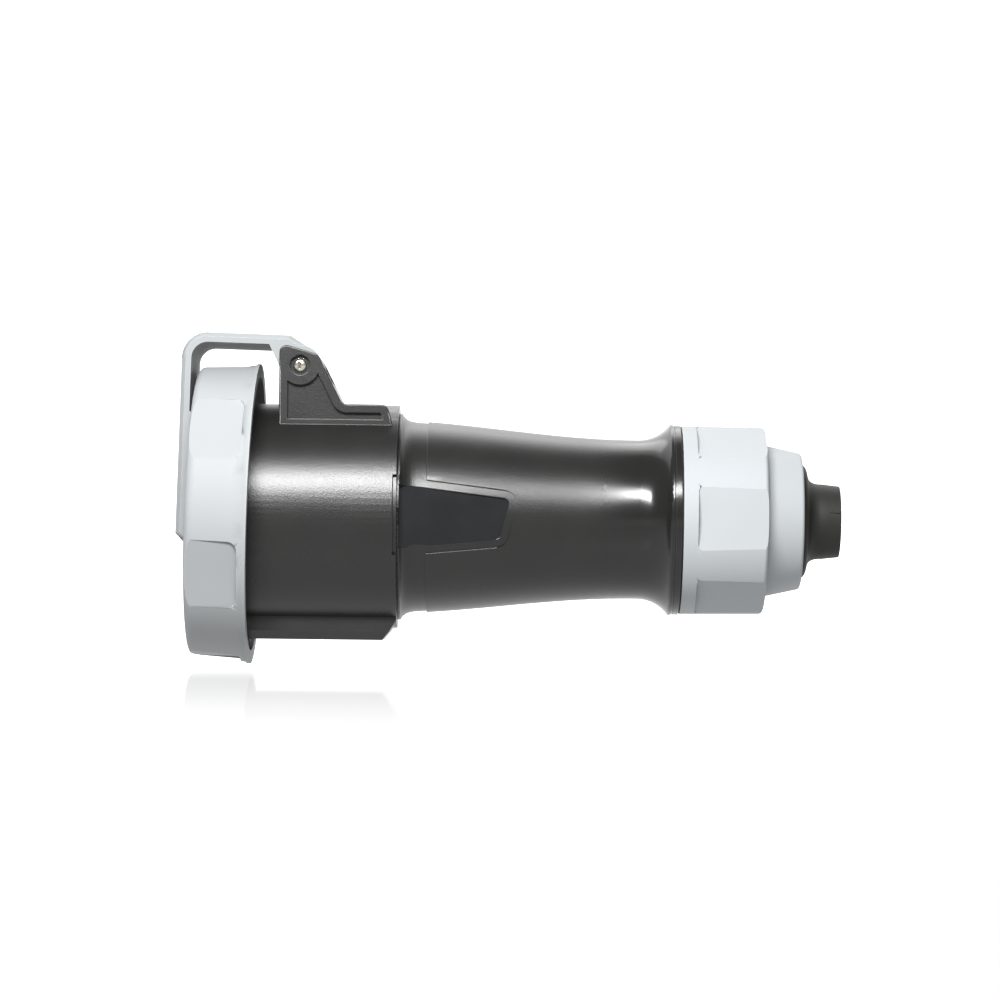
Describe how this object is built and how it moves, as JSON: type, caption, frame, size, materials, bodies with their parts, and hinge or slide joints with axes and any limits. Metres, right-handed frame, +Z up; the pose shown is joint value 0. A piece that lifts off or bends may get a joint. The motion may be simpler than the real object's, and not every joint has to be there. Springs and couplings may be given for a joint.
{
  "type": "pin and sleeve connector",
  "caption": "Cable-mounted pin and sleeve connector with a hinged sprung lid, bayonet locking ring, tapered handle and cable gland.",
  "frame": {"origin": "on the connector's axis, at the front face of the contact carrier, where a plug's front comes", "axes": "+X along the connector from the lid to the cable end, +Z up towards the lid's hinge, so a plug leaves along -X"},
  "size_m": [0.2783, 0.1264, 0.1383],
  "materials": {
    "collar_plastic": "fine-textured black moulding",
    "housing_plastic": "fine-textured black moulding",
    "lid_plastic": "satin blue-grey moulding",
    "ring_plastic": "satin blue-grey moulding",
    "nut_plastic": "satin blue-grey moulding",
    "carrier_plastic": "dark grey moulding",
    "brass": "turned",
    "steel": "plated",
    "spring_steel": "drawn wire",
    "rubber": "matt moulded rubber",
    "clamp_plastic": "natural moulding"
  },
  "bodies": {
    "body": {"collar": "collar_plastic", "rear_housing": "housing_plastic", "contact_carrier": "carrier_plastic", "contact_line_1": "brass", "contact_line_2": "brass", "contact_line_3": "brass", "contact_earth": "brass", "contact_pilot": "brass", "terminal_screws": "steel", "carrier_screws": "steel", "hinge_pin": "steel", "hinge_screws": "steel", "lid_spring": "spring_steel", "housing_seal": "rubber", "nut_seal": "rubber", "clamp_collet": "clamp_plastic", "gland_bush": "rubber"},
    "lid": {"lid": "lid_plastic", "lid_gasket": "rubber", "ring_clip": "spring_steel"},
    "locking_ring": {"locking_ring": "ring_plastic"},
    "gland_thrust": {"slip_washer": "clamp_plastic"},
    "gland_nut": {"gland_nut": "nut_plastic"}
  },
  "joints": [
    {"name": "lid_hinge", "type": "hinge", "parent": "body", "child": "lid", "pos_m": [0.0318, 0, 0.062], "axis": [0, 1, 0], "range_deg": [-1.5, 110], "stiffness_Nm_per_rad": 0.25, "deforming": ["lid_spring"]},
    {"name": "ring_turn", "type": "hinge", "parent": "lid", "child": "locking_ring", "pos_m": [-0.00161, 0, 0.00085], "axis": [-0.9997, 0, 0.0262], "range_deg": [0, 30]},
    {"name": "nut_travel", "type": "slide", "parent": "body", "child": "gland_thrust", "axis": [1, 0, 0], "range_m": [0, 0.006]},
    {"name": "nut_turn", "type": "hinge", "parent": "gland_thrust", "child": "gland_nut", "pos_m": [0.2, 0, 0], "axis": [1, 0, 0], "range_deg": [0, 720]}
  ],
  "couplings": [
    {"joint": "nut_travel", "follows": "nut_turn", "m_per_rad": 0.00047746}
  ]
}
